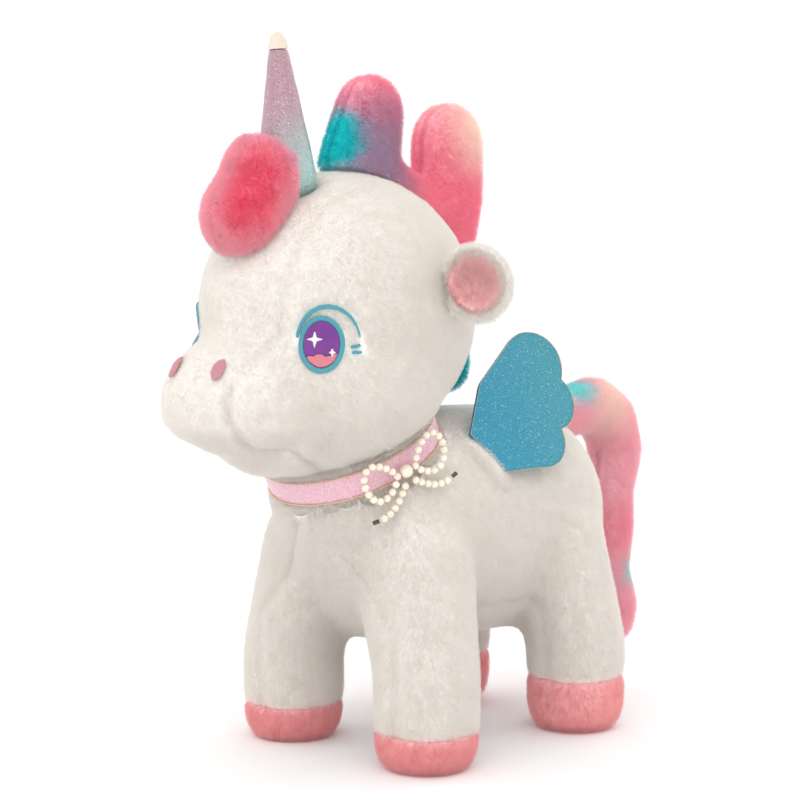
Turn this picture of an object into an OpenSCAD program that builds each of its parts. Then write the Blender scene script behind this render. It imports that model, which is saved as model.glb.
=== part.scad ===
// Stuffed plush unicorn: sewn cloth panels over stuffing, glitter wings and horn, ribbon collar, bead bow.
// +X is the animal's left, -Y its front, +Z up. The origin is on the floor under the middle of its length.

/* [Torso] */
// Length of the torso, chest to rump
torso_length = 162; // [140:1:180]
// Width of the torso across the flanks
torso_width = 98; // [82:1:112]
// Depth of the torso, belly to back
torso_depth = 102; // [90:1:108]
// Width of the flat run along the back and belly
torso_flat = 20; // [10:1:30]
// Height of the belly above the floor
belly_height = 48; // [40:1:52]
// Distance of the chest ahead of the origin
chest_front = 72.5; // [66:0.5:80]

/* [Legs] */
// Distance between the left and right leg axes
leg_track = 83; // [70:1:92]
// Distance between the front and hind leg axes
leg_base = 101; // [88:1:112]
// Distance of the front leg axes ahead of the origin
front_leg_ahead = 49.5; // [44:0.5:54]
// Radius of a leg at the shank
leg_radius = 22; // [18:0.5:24]
// Height of a front hoof
front_hoof_height = 17; // [14:0.5:24]
// Height of a hind hoof
hind_hoof_height = 26; // [17:0.5:31]

/* [Head] */
// Width of the skull
skull_width = 112; // [94:1:126]
// Length of the skull, forehead to nape
skull_length = 124; // [112:1:134]
// Height of the skull
skull_height = 118; // [108:1:128]
// Width of the muzzle
muzzle_width = 75; // [62:1:84]
// Length of the muzzle ellipsoid
muzzle_length = 66; // [54:1:76]
// Height of the muzzle
muzzle_height = 61; // [54:1:68]
// Width over the forehead of the strip of cloth between the side panels
gusset_width = 50; // [38:1:58]
// Width of that strip over the nose
gusset_nose_width = 34; // [26:1:44]

/* [Neck and collar] */
// Radius of the stuffed neck core
neck_radius = 38; // [35:0.5:40]
// Lean of the neck from upright
neck_tilt = 25.5; // [20:0.5:30]
// Width of the collar ribbon
collar_width = 11; // [8:0.5:13]
// Thickness of the collar ribbon
collar_thickness = 0.9; // [0.6:0.1:1.4]
// Furthest that the head nods down
nod_down = 6; // [3:0.5:8]

/* [Bead bow] */
// Diameter of a bead
bead_diameter = 3.2; // [2.4:0.1:3.6]
// Length of each bow loop
bow_loop_length = 20.5; // [18:0.5:26]
// Height factor of each bow loop
bow_loop_height = 7.5; // [6:0.5:9]
// Diameter of the bead thread
thread_diameter = 0.4; // [0.3:0.05:0.5]

/* [Ears and horn] */
// Diameter of an ear
ear_diameter = 33; // [28:0.5:38]
// Depth of the ear's cup
ear_depth = 9; // [7:0.5:11]
// Radius of the horn at its base
horn_radius = 12.5; // [10:0.5:14]
// Height of the horn above its pivot
horn_height = 60; // [48:1:72]
// Lean of the horn towards the front
horn_lean_rest = 5; // [0:1:10]

/* [Hair] */
// Thickness of the mane
mane_thickness = 25; // [20:1:30]
// Thickness of the forelock
forelock_thickness = 37; // [30:1:44]
// Thickness of the tail
tail_thickness = 24; // [20:1:30]

/* [Wings] */
// Size factor of the wing outline
wing_scale = 1; // [0.85:0.01:1.1]
// Thickness of the glitter sheet
wing_sheet_thickness = 1.2; // [0.8:0.1:1.6]
// Thickness of the felt behind the glitter sheet
wing_felt_thickness = 1; // [0.8:0.1:1.4]

/* [Cloth] */
// Thickness of the plush cloth
cloth_thickness = 2; // [1.4:0.1:2.4]
// Gap left at each sewn seam
seam_gap = 0.4; // [0.3:0.05:0.6]
// Thickness of raised embroidery
embroidery_thickness = 0.8; // [0.5:0.1:1.2]

/* [Hidden] */

left = 1;
right = -1;
soft_fn = 22;
leg_fn = 20;
hair_fn = 14;
round_fn = 64;
far = 400;

cream = "ivory";
salmon = "salmon";
teal = "teal";

// Gap between cloth and the stuffing inside it
stuffing_gap = 0.3;
// Gap between pieces that move against each other
moving_gap = 0.8;
stuffing_inset = cloth_thickness + stuffing_gap;

// Torso: two pairs of ellipsoids and the neck's foot, all inside one taut skin
torso_mid_z = belly_height + torso_depth / 2;
chest_size = [torso_width - 4 - torso_flat, torso_length * 0.57, torso_depth];
rump_size = [torso_width - torso_flat, torso_length * 0.59, torso_depth - 2];
chest_y = -chest_front + chest_size.y / 2;
rump_y = -chest_front + torso_length - rump_size.y / 2;

// Neck: a ball that the head and the torso both seat on
neck_pos = [0, 19 - chest_front, belly_height + torso_depth - 16];
neck_seat_radius = neck_radius + 0.6;
neck_edge = collar_width / 2 + 1;
shoulder_ring_radius = neck_radius + 2;

// Legs
front_leg_y = -front_leg_ahead;
hind_leg_y = front_leg_y + leg_base;
shank_top = 42;
shank_lap = 0.05;
sole_radius = leg_radius * 0.6;
shoulder_x = leg_track / 2 - 13;
shoulder_radius = leg_radius + 3;
shoulder_z = belly_height + 42;
seam_apex_z = belly_height + 61;
seam_foot_z = belly_height + 12;

// Head
skull_pos = neck_pos + [0, -8, 61];
muzzle_pos = skull_pos + [0, -53, -38];
jaw_pos = skull_pos + [0, -20, -34];
cheek_pos = skull_pos + [0, -12, -27];
skull_size = [skull_width, skull_length, skull_height];
muzzle_size = [muzzle_width, muzzle_length, muzzle_height];
jaw_size = [skull_width * 0.7, 74, 62];
cheek_size = [skull_width * 0.98, skull_length * 0.86, skull_height * 0.72];
chin_z = muzzle_pos.z - 16;
gusset_brow_z = skull_pos.z + 14;
eye_pos = [36.5, skull_pos.y - 44, skull_pos.z - 13];
eye_turn = 42;
eye_lean = 4;
nostril_pos = [12, muzzle_pos.y - 20, muzzle_pos.z + 16.5];

// Horn
horn_pos = skull_pos + [0, -29, 55];
horn_tip_radius = 3;
horn_wall = 0.8;
horn_lean_room = 4;

// Ears
ear_pos = skull_pos + [skull_width * 0.4875, 9.5, 12];
ear_turn = 15;
ear_droop = 8;
ear_reach = 12;
ear_flop_room = 30;

// Wings
wing_root = [neck_radius + 1.7, chest_y + 19, belly_height + 84.2];
seam_dir = unit([0.54, 0.78, -1]);
wing_out = unit(cross(seam_dir, [-0.19, 0.77, 1]));
wing_up = cross(wing_out, seam_dir);

// Tail
tail_root = [0, rump_y + 33, torso_mid_z + 34];
tail_swing_room = 26;

function unit(v) = v / norm(v);

module ellipsoid(size) {
    scale(size / 2) sphere(r = 1, $fn = soft_fn);
}

// One closed piece of cloth or stuffing
module sewn() {
    resize([0, 0, 0]) children();
}

module at_neck() {
    translate(neck_pos) rotate([neck_tilt, 0, 0]) children();
}

// Both sides of the animal: side is left or right
module on_side(side) {
    mirror([side == right ? 1 : 0, 0, 0]) children();
}

// ---- Body ----

module leg_profile(inset) {
    polygon([
        [0, inset], [sole_radius - inset, inset], [leg_radius * 0.82 - inset, 2.6 + inset],
        [leg_radius * 0.95 - inset, 7.5 + inset * 0.7], [leg_radius - inset, 14 + inset * 0.4],
        [leg_radius - inset, shank_top], [0, shank_top],
    ]);
}

module leg_form(side, y, inset) {
    translate([side * leg_track / 2, y, 0]) rotate_extrude($fn = leg_fn) leg_profile(inset);
    hull() {
        translate([side * leg_track / 2, y, shank_top - 1])
            cylinder(r = leg_radius - inset + shank_lap, h = 1.5, $fn = leg_fn);
        translate([side * shoulder_x, y * 0.9, shoulder_z]) sphere(r = shoulder_radius - inset, $fn = leg_fn);
    }
}

module torso_form(inset) {
    hull() {
        for (side = [left, right]) {
            translate([side * torso_flat / 2, chest_y, torso_mid_z]) ellipsoid(chest_size - [1, 1, 1] * 2 * inset);
            translate([side * torso_flat / 2, rump_y, torso_mid_z - 1]) ellipsoid(rump_size - [1, 1, 1] * 2 * inset);
        }
        at_neck() translate([0, 0, -neck_edge - 1]) cylinder(r = shoulder_ring_radius - inset, h = 1, $fn = soft_fn);
    }
}

module body_form(inset) {
    torso_form(inset);
    for (side = [left, right], y = [front_leg_y, hind_leg_y]) leg_form(side, y, inset);
}

module neck_room() {
    at_neck() {
        translate([0, 0, -neck_edge]) cylinder(r = far, h = far);
        sphere(r = neck_seat_radius, $fn = soft_fn * 2);
    }
}

function hoof_height(y) = y == front_leg_y ? front_hoof_height : hind_hoof_height;

// Everything below each hoof's top edge, with a gap added
module hoof_space(gap) {
    for (side = [left, right], y = [front_leg_y, hind_leg_y])
        translate([side * leg_track / 2, y, -1])
            cylinder(r = leg_radius + 3, h = hoof_height(y) + gap + 1, $fn = leg_fn);
}

module belly_outline(gap) {
    polygon([
        [0, seam_apex_z - gap * 1.6], [leg_track / 2 - gap, seam_foot_z], [leg_track / 2 - gap, -1],
        [gap - leg_track / 2, -1], [gap - leg_track / 2, seam_foot_z],
    ]);
}

module belly_region(gap) {
    rotate([90, 0, 0]) linear_extrude(far, center = true) belly_outline(gap);
}

module body_skin() {
    difference() {
        body_form(0);
        body_form(cloth_thickness);
        neck_room();
        hoof_space(seam_gap);
    }
}

module body_side_panel(side) {
    color(cream) sewn() difference() {
        intersection() {
            body_skin();
            translate([side * (far / 2 + seam_gap / 2), 0, 0]) cube(far, center = true);
        }
        belly_region(-seam_gap / 2);
    }
}

module body_left_panel() {
    body_side_panel(left);
}

module body_right_panel() {
    body_side_panel(right);
}

module belly_panel() {
    color(cream) sewn() intersection() {
        body_skin();
        belly_region(seam_gap / 2);
    }
}

module body_stuffing() {
    color("white") sewn() difference() {
        body_form(stuffing_inset);
        neck_room();
    }
}

module hoof(side, y) {
    height = hoof_height(y);
    color(salmon) translate([side * leg_track / 2, y, 0]) difference() {
        intersection() {
            rotate_extrude($fn = round_fn) leg_profile(0);
            cylinder(r = far, h = height);
        }
        rotate_extrude($fn = round_fn) leg_profile(cloth_thickness);
    }
}

module hoof_front_left() {
    hoof(left, front_leg_y);
}

module hoof_front_right() {
    hoof(right, front_leg_y);
}

module hoof_hind_left() {
    hoof(left, hind_leg_y);
}

module hoof_hind_right() {
    hoof(right, hind_leg_y);
}

// ---- Neck and collar ----

collar_inner = neck_radius + 0.3;
edging_radius = 0.5;

module neck_stuffing() {
    color("white") at_neck() sphere(r = neck_radius, $fn = round_fn);
}

module collar_ribbon() {
    color("lightpink") at_neck() rotate_extrude($fn = round_fn)
        translate([collar_inner, -collar_width / 2]) square([collar_thickness, collar_width]);
}

module collar_edging() {
    color("peachpuff") at_neck() for (end = [-1, 1])
        rotate_extrude($fn = round_fn)
            translate([collar_inner + collar_thickness + edging_radius + 0.1, end * (collar_width / 2 - edging_radius)])
                circle(r = edging_radius, $fn = 16);
}

bow_angle = -14;
bow_stand = collar_inner + collar_thickness + 2 * edging_radius + 1.4 + bead_diameter / 2;
bow_drop = 1.6;
bow_tail_end = [22, -13];
crimp_hole_radius = thread_diameter / 2 + 0.4;
bead_fn = 16;
bead_pitch = bead_diameter + 0.15;
knot_radius = 2.8;
loop_start = knot_radius + bead_diameter / 2 + 0.4;
crimp_length = 2.4;

// The plane that the bow lies in, in front of the collar
module at_bow() {
    at_neck() rotate([0, 0, bow_angle]) translate([bow_stand, 0, -bow_drop]) rotate([90, 0, 90]) children();
}

function loop_point(t, side) = [
    side * (loop_start + (bow_loop_length - loop_start) / 2 * (1 - cos(t))),
    2.6 * (1 - cos(t)) / 2 + bow_loop_height * sin(t) * sin(t / 2) + 2.4 * sin(t),
];
function bow_loop(side) = [for (t = [0:12:348]) loop_point(t, side)];
function bow_tail(side) = [for (s = [0:0.125:1]) [
    side * (1.6 + (bow_tail_end.x - 1.6) * s), -4.6 + (bow_tail_end.y + 4.6) * s - 4 * sin(180 * s),
]];
function path_length(path, i = 0) =
    i == len(path) - 1 ? 0 : norm(path[i + 1] - path[i]) + path_length(path, i + 1);
function walk(path, s, i = 0) =
    let(d = norm(path[i + 1] - path[i]))
    s <= d || i == len(path) - 2 ? path[i] + (path[i + 1] - path[i]) * (s / d) : walk(path, s - d, i + 1);
function closed(path) = concat(path, [path[0]]);
function heading(path, s) = let(v = walk(path, s + 0.3) - walk(path, s - 0.3)) atan2(v.y, v.x);

module bead(path, s) {
    spot = walk(path, s);
    translate([spot.x, spot.y, 0]) sphere(d = bead_diameter, $fn = bead_fn);
}

module bow_beads() {
    color("ivory") at_bow() {
        sphere(r = knot_radius, $fn = bead_fn);
        for (side = [left, right]) {
            loop = closed(bow_loop(side));
            loop_count = floor(path_length(loop) / bead_pitch);
            for (k = [0:loop_count - 1]) bead(loop, k * path_length(loop) / loop_count);
            tail = bow_tail(side);
            for (k = [0:floor((path_length(tail) - crimp_length) / bead_pitch) - 1])
                bead(tail, (k + 0.5) * bead_pitch);
        }
    }
}

// A thin line that follows a flat path, as rings of points joined up
module thread_run(path, is_loop) {
    sides = 5;
    n = len(path);
    ring = function(i) let(
            a = path[is_loop ? (i + n - 1) % n : max(i - 1, 0)],
            b = path[is_loop ? (i + 1) % n : min(i + 1, n - 1)],
            across = unit([a.y - b.y, b.x - a.x]),
            r = thread_diameter / 2
        ) [for (k = [0:sides - 1]) [
            path[i].x + across.x * r * cos(k * 360 / sides),
            path[i].y + across.y * r * cos(k * 360 / sides),
            r * sin(k * 360 / sides),
        ]];
    points = [for (i = [0:n - 1]) each ring(i)];
    walls = [for (i = [0:(is_loop ? n - 1 : n - 2)], k = [0:sides - 1]) let(
            j = (i + 1) % n,
            m = (k + 1) % sides
        ) each [[i * sides + k, j * sides + k, i * sides + m], [j * sides + k, j * sides + m, i * sides + m]]];
    caps = is_loop ? [] : [
        [for (k = [0:sides - 1]) k],
        [for (k = [sides - 1:-1:0]) (n - 1) * sides + k],
    ];
    polyhedron(points, concat(walls, caps));
}

module bow_thread() {
    color("white") at_bow() for (side = [left, right]) {
        thread_run(bow_loop(side), true);
        thread_run(bow_tail(side), false);
    }
}

module bow_crimps() {
    color("dimgray") at_bow() for (side = [left, right]) {
        tail = bow_tail(side);
        s = path_length(tail) - crimp_length / 2 + 0.3;
        spot = walk(tail, s);
        translate([spot.x, spot.y, 0]) rotate([0, 0, heading(tail, s - 0.5)]) rotate([0, 90, 0]) difference() {
            cylinder(r = 0.9, h = crimp_length, center = true, $fn = 24);
            cylinder(r = crimp_hole_radius, h = 2 * crimp_length, center = true, $fn = 16);
        }
    }
}

// ---- Head ----

module head_bulk(inset) {
    shrink = [1, 1, 1] * 2 * inset;
    translate(skull_pos) ellipsoid(skull_size - shrink);
    hull() {
        translate(muzzle_pos) ellipsoid(muzzle_size - shrink);
        translate(jaw_pos) ellipsoid(jaw_size - shrink);
    }
    hull() {
        translate(cheek_pos) ellipsoid(cheek_size - shrink);
        at_neck() translate([0, 0, neck_edge]) cylinder(r = shoulder_ring_radius - inset, h = 1, $fn = soft_fn);
    }
}

// The head's underside is a cone that stays clear of the collar at the deepest nod
module head_seat() {
    at_neck() {
        mirror([0, 0, 1]) translate([0, 0, -neck_edge]) cylinder(r = far, h = far);
        translate([0, 0, neck_edge - 1]) difference() {
            cylinder(r = far, h = far * tan(nod_down));
            translate([0, 0, 1]) cylinder(r1 = 0, r2 = far, h = far * tan(nod_down), $fn = soft_fn * 2);
        }
        sphere(r = neck_seat_radius, $fn = soft_fn * 2);
    }
}

module horn_pocket() {
    translate(horn_pos) sphere(r = horn_radius + 2, $fn = soft_fn);
}

module head_skin() {
    difference() {
        head_bulk(0);
        head_bulk(cloth_thickness);
        head_seat();
        horn_pocket();
    }
}

module gusset_region(gap) {
    brow = gusset_width / 2 - gap / 2;
    nose = gusset_nose_width / 2 - gap / 2;
    low = chin_z + gap / 2;
    rotate([90, 0, 0]) linear_extrude(2 * far, center = true) polygon([
        [nose, low], [brow, gusset_brow_z], [brow, far], [-brow, far], [-brow, gusset_brow_z], [-nose, low],
    ]);
}

module chin_region(gap) {
    translate([0, 0, chin_z - gap / 2 - far / 2]) cube([2 * far, 2 * far, far], center = true);
}

module head_side_panel(side) {
    color(cream) sewn() difference() {
        intersection() {
            head_skin();
            translate([side * far / 2, 0, 0]) cube([far, 2 * far, 2 * far], center = true);
        }
        gusset_region(-seam_gap);
        chin_region(-seam_gap);
    }
}

module head_left_panel() {
    head_side_panel(left);
}

module head_right_panel() {
    head_side_panel(right);
}

module head_gusset() {
    color(cream) sewn() intersection() {
        head_skin();
        gusset_region(seam_gap);
    }
}

module chin_panel() {
    color(cream) sewn() intersection() {
        head_skin();
        chin_region(seam_gap);
    }
}

module head_stuffing() {
    color("white") sewn() difference() {
        head_bulk(stuffing_inset);
        head_seat();
        horn_pocket();
    }
}

// ---- Embroidery ----

stitch_lift = 0.1;

// Stitches: a flat outline laid on the head's curve, facing along a turned and leaned axis
module stitched(spot, turn, lean) {
    sewn() intersection() {
        difference() {
            head_bulk(-stitch_lift - embroidery_thickness);
            head_bulk(-stitch_lift);
        }
        translate(spot) rotate([0, 0, turn]) rotate([90 - lean, 0, 0])
            linear_extrude(30, center = true) children();
    }
}

module oval(w, h) {
    scale([w, h] / 2) circle(r = 1, $fn = 24);
}

module on_eye(side) {
    on_side(side) stitched(eye_pos, eye_turn, eye_lean) children();
}

// Scallops of the pool of light in the iris: across, up, radius
shine_scallops = [[-4.6, -7.2, 2.6], [-0.8, -6.6, 2.8], [3.2, -7.4, 2.8], [5.6, -5.8, 2]];
shine_floor = -10;
// Gap between embroidered shapes that share the iris
thread_gap = 0.3;

// Scalloped pool of light at the foot of the iris
module shine_shape() {
    intersection() {
        oval(14, 18);
        for (scallop = shine_scallops)
            hull() {
                translate([scallop.x, scallop.y]) circle(r = scallop.z, $fn = 20);
                translate([scallop.x, shine_floor]) circle(r = scallop.z, $fn = 20);
            }
    }
}

// Star with four points
module sparkle(w, h) {
    waist = 0.3;
    polygon([for (k = [0:7]) (k % 2 == 0 ? 1 : waist) / 2 * [w * cos(k * 45), h * sin(k * 45)]]);
}

module star_shapes() {
    translate([-2.8, 2.1]) sparkle(6.4, 6.8);
    translate([4.3, -3.2]) sparkle(2.8, 4);
}

module brow_shape() {
    translate([2.5, 1]) difference() {
        oval(26, 30);
        translate([0.3, -0.9]) oval(25.2, 29);
        translate([0, -13]) square([40, 30], center = true);
    }
    translate([13.5, -0.5]) rotate(12) square([3.6, 0.9], center = true);
    translate([14, -3]) rotate(2) square([3.6, 0.9], center = true);
}

module eye_outline(side) {
    color(teal) on_eye(side) difference() {
        oval(18.4, 23);
        oval(15, 19.4);
    }
}

module eye_iris(side) {
    color("indigo") on_eye(side) difference() {
        oval(14.4, 18.8);
        offset(thread_gap) shine_shape();
        offset(thread_gap) star_shapes();
    }
}

module eye_shine(side) {
    color("pink") on_eye(side) difference() {
        shine_shape();
        offset(thread_gap) star_shapes();
    }
}

module eye_stars(side) {
    color("white") on_eye(side) star_shapes();
}

module eye_brow(side) {
    color(teal) on_eye(side) difference() {
        brow_shape();
        oval(19.4, 24);
    }
}

module nostril(side) {
    color("hotpink") on_side(side) stitched(nostril_pos, 12, -10) oval(5.2, 6.8);
}

module eye_outline_left() {
    eye_outline(left);
}

module eye_outline_right() {
    eye_outline(right);
}

module eye_iris_left() {
    eye_iris(left);
}

module eye_iris_right() {
    eye_iris(right);
}

module eye_shine_left() {
    eye_shine(left);
}

module eye_shine_right() {
    eye_shine(right);
}

module eye_stars_left() {
    eye_stars(left);
}

module eye_stars_right() {
    eye_stars(right);
}

module eye_brow_left() {
    eye_brow(left);
}

module eye_brow_right() {
    eye_brow(right);
}

module nostril_left() {
    nostril(left);
}

module nostril_right() {
    nostril(right);
}

// ---- Ears ----

ear_radius = ear_diameter / 2;
ear_ball = (ear_radius * ear_radius + ear_depth * ear_depth) / (2 * ear_depth);
ear_layer = 2.2;

// A cup of one layer: the shell of a ball between two radii, cut off by a plane
module ear_cup(outer, inner) {
    translate([0, 0, ear_ball - ear_depth]) difference() {
        sphere(r = outer, $fn = soft_fn);
        sphere(r = inner, $fn = soft_fn);
        translate([0, 0, far / 2 - ear_ball + ear_depth]) cube(far, center = true);
    }
}

// The ear's own frame: z along its open face, x away from the head, origin on its base seam
module at_ear() {
    translate(ear_pos) rotate([0, 0, ear_turn]) rotate([90 + ear_droop, 0, 0]) children();
}

// Room that keeps a flopping piece off what it is sewn to: a wedge open along +x
module flop_wedge(room) {
    linear_extrude(far, center = true) polygon([[moving_gap, 0], [far * sin(room), far * cos(room)], [far, 0],
        [far * sin(room), -far * cos(room)]]);
}

module ear_layer_piece(outer, inner) {
    at_ear() intersection() {
        translate([ear_radius - 2, 0, 2]) ear_cup(outer, inner);
        rotate([90, 0, 0]) flop_wedge(ear_flop_room);
    }
}

module ear_shell(side) {
    color(cream) on_side(side) sewn() ear_layer_piece(ear_ball, ear_ball - ear_layer);
}

module ear_lining(side) {
    color("lightcoral") on_side(side) sewn()
        ear_layer_piece(ear_ball - ear_layer - stuffing_gap, ear_ball - 2 * ear_layer);
}

module ear_shell_left() {
    ear_shell(left);
}

module ear_shell_right() {
    ear_shell(right);
}

module ear_lining_left() {
    ear_lining(left);
}

module ear_lining_right() {
    ear_lining(right);
}

// ---- Horn ----

module at_horn() {
    translate(horn_pos) rotate([horn_lean_rest, 0, 0]) children();
}

horn_tip_start = horn_height - 7;
function horn_radius_at(z) = horn_radius - (horn_radius - horn_tip_radius) * z / horn_height;

// The horn's outline down to a plane, grown by a distance: cone above, ball seat below
module horn_body(grow) {
    sphere(r = horn_radius + grow, $fn = round_fn);
    cylinder(r1 = horn_radius + grow, r2 = horn_radius_at(horn_tip_start) + grow, h = horn_tip_start, $fn = round_fn);
}

module horn_cover() {
    color("thistle") at_horn() difference() {
        horn_body(0);
        horn_body(-horn_wall);
        translate([0, 0, horn_tip_start - horn_wall * 2]) cylinder(r = horn_radius_at(horn_tip_start) - horn_wall, h = far);
    }
}

module horn_stuffing() {
    color("white") at_horn() difference() {
        horn_body(-horn_wall - stuffing_gap);
        translate([0, 0, horn_tip_start - horn_wall]) cylinder(r = horn_radius, h = far);
    }
}

module horn_tip() {
    color("antiquewhite") at_horn() translate([0, 0, horn_tip_start + 0.05]) rotate_extrude($fn = round_fn)
        intersection() {
            scale([horn_radius_at(horn_tip_start), horn_height - horn_tip_start]) circle(r = 1, $fn = round_fn);
            square(far);
        }
}

// ---- Hair: mane, forelock and tail, each a chain of puffs between two flat-sewn panels ----

// A puff is [y, z, radius]
function shift(puffs, y, z) = [for (p = puffs) [p[0] + y, p[1] + z, p[2]]];

mane_front_lobe = shift([[19, 86, 15.7], [12, 59, 21]], skull_pos.y, skull_pos.z);
mane_saddle = shift([[12, 57, 17], [40, 48, 12.5], [62, 40, 15]], skull_pos.y, skull_pos.z);
mane_rear_lobe = shift([[69, 74, 18.5], [69, 48, 18]], skull_pos.y, skull_pos.z);
mane_nape = shift([[69, 46, 17], [66, 22, 12.5], [64, -4, 12], [66, -28, 10.5]], skull_pos.y, skull_pos.z);
mane_runs = [mane_front_lobe, mane_saddle, mane_rear_lobe, mane_nape];

forelock_runs = [
    shift([[-40, 56, 19], [-41, 54, 18.5]], skull_pos.y, skull_pos.z),
    shift([[-46, 50, 15], [-52, 39, 18]], skull_pos.y, skull_pos.z),
];

tail_runs = [
    shift([[4, 1, 8], [22, 10, 11], [40, 12, 13.5], [54, 3, 14.5], [59, -10, 14]], tail_root.y, tail_root.z),
    shift([[59, -14, 13.5], [54, -32, 11.5], [54, -52, 12], [51, -72, 10.5], [57, -90, 13], [56, -99, 10.5]],
        tail_root.y, tail_root.z),
];

module puff(p, thickness, inset) {
    translate([0, p[0], p[1]]) scale([thickness / 2 - inset, p[2] - inset, p[2] - inset])
        sphere(r = 1, $fn = hair_fn);
}

module puff_run(puffs, thickness, inset) {
    for (i = [0:len(puffs) - 2]) hull() {
        puff(puffs[i], thickness, inset);
        puff(puffs[i + 1], thickness, inset);
    }
}

module puff_runs(runs, thickness, inset) {
    for (puffs = runs) puff_run(puffs, thickness, inset);
}

// One half of a stuffed hair piece's cover; the child is the room that the piece leaves free
module hair_panel(runs, thickness, side) {
    sewn() difference() {
        intersection() {
            puff_runs(runs, thickness, 0);
            translate([side * (far / 2 + seam_gap / 2), 0, 0]) cube([far, 2 * far, 2 * far], center = true);
        }
        puff_runs(runs, thickness, cloth_thickness);
        children();
    }
}

module hair_stuffing(runs, thickness) {
    sewn() difference() {
        puff_runs(runs, thickness, stuffing_inset);
        children();
    }
}

module mane_room() {
    head_bulk(-seam_gap);
    horn_room(0);
}

module forelock_room() {
    head_bulk(-moving_gap);
    horn_room(1);
}

module tail_room() {
    body_form(-moving_gap * 5);
    translate(tail_root) rotate([0, 0, 90]) difference() {
        cylinder(r = 40, h = 2 * far, center = true);
        flop_wedge(tail_swing_room);
    }
}

// Space kept for the horn as it leans
module horn_room(extra) {
    at_horn() horn_body(horn_lean_room + extra);
}

module mane_left_panel() {
    color("mediumpurple") hair_panel(mane_runs, mane_thickness, left) mane_room();
}

module mane_right_panel() {
    color("mediumpurple") hair_panel(mane_runs, mane_thickness, right) mane_room();
}

module mane_stuffing() {
    color("white") hair_stuffing(mane_runs, mane_thickness) mane_room();
}

module forelock_left_panel() {
    color("hotpink") hair_panel(forelock_runs, forelock_thickness, left) forelock_room();
}

module forelock_right_panel() {
    color("turquoise") hair_panel(forelock_runs, forelock_thickness, right) forelock_room();
}

module forelock_stuffing() {
    color("white") hair_stuffing(forelock_runs, forelock_thickness) forelock_room();
}

module tail_left_panel() {
    color("lightpink") hair_panel(tail_runs, tail_thickness, left) tail_room();
}

module tail_right_panel() {
    color("lightpink") hair_panel(tail_runs, tail_thickness, right) tail_room();
}

module tail_stuffing() {
    color("white") hair_stuffing(tail_runs, tail_thickness) tail_room();
}

// ---- Wings ----

// The wing's outline: x runs down and back along the root seam, y up and back away from it
module wing_outline() {
    scale(wing_scale) {
        hull() {
            translate([-8.5, 53]) circle(r = 15.5, $fn = 40);
            translate([-12, 26]) circle(r = 11, $fn = 40);
            polygon([[-12, 1], [10, 1], [10, 20]]);
        }
        hull() {
            translate([8.5, 46]) circle(r = 13, $fn = 40);
            translate([-3, 24]) circle(r = 10, $fn = 40);
        }
        hull() {
            translate([15.4, 27.4]) circle(r = 12.8, $fn = 40);
            polygon([[-10, 1], [11, 1], [-4, 22]]);
        }
    }
}

module at_wing() {
    multmatrix([
        [seam_dir.x, wing_up.x, wing_out.x, wing_root.x],
        [seam_dir.y, wing_up.y, wing_out.y, wing_root.y],
        [seam_dir.z, wing_up.z, wing_out.z, wing_root.z],
        [0, 0, 0, 1],
    ]) children();
}

module wing_sheet(side) {
    color("steelblue") on_side(side) at_wing()
        translate([0, 0, wing_felt_thickness + 0.05]) linear_extrude(wing_sheet_thickness) wing_outline();
}

module wing_felt(side) {
    color("cadetblue") on_side(side) at_wing() linear_extrude(wing_felt_thickness) wing_outline();
}

module wing_sheet_left() {
    wing_sheet(left);
}

module wing_sheet_right() {
    wing_sheet(right);
}

module wing_felt_left() {
    wing_felt(left);
}

module wing_felt_right() {
    wing_felt(right);
}

body_left_panel();
body_right_panel();
belly_panel();
body_stuffing();
hoof_front_left();
hoof_front_right();
hoof_hind_left();
hoof_hind_right();
neck_stuffing();
collar_ribbon();
collar_edging();
bow_beads();
bow_thread();
bow_crimps();
head_left_panel();
head_right_panel();
head_gusset();
chin_panel();
head_stuffing();
eye_outline_left();
eye_outline_right();
eye_iris_left();
eye_iris_right();
eye_shine_left();
eye_shine_right();
eye_stars_left();
eye_stars_right();
eye_brow_left();
eye_brow_right();
nostril_left();
nostril_right();
ear_shell_left();
ear_shell_right();
ear_lining_left();
ear_lining_right();
horn_cover();
horn_stuffing();
horn_tip();
forelock_left_panel();
forelock_right_panel();
forelock_stuffing();
mane_left_panel();
mane_right_panel();
mane_stuffing();
wing_sheet_left();
wing_sheet_right();
wing_felt_left();
wing_felt_right();
tail_left_panel();
tail_right_panel();
tail_stuffing();
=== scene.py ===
import math

import bmesh
import bpy
import numpy as np
from mathutils import Matrix, Vector


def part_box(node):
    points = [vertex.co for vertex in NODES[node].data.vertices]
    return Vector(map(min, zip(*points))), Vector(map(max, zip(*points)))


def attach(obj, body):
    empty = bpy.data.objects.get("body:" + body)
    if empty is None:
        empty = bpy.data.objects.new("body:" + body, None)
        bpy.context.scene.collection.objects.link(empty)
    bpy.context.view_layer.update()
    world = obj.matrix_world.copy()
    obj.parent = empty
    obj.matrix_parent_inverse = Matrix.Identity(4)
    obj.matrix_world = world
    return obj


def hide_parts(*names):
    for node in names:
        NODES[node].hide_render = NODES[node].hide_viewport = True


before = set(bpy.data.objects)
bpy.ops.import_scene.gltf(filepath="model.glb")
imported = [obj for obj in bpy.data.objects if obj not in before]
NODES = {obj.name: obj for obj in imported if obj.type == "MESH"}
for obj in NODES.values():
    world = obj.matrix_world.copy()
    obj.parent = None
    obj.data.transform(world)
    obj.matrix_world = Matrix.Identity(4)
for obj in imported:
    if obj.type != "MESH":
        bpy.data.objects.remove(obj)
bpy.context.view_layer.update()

MM = 0.001

# ---- Places, in metres, worked out from the frame ----

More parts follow.
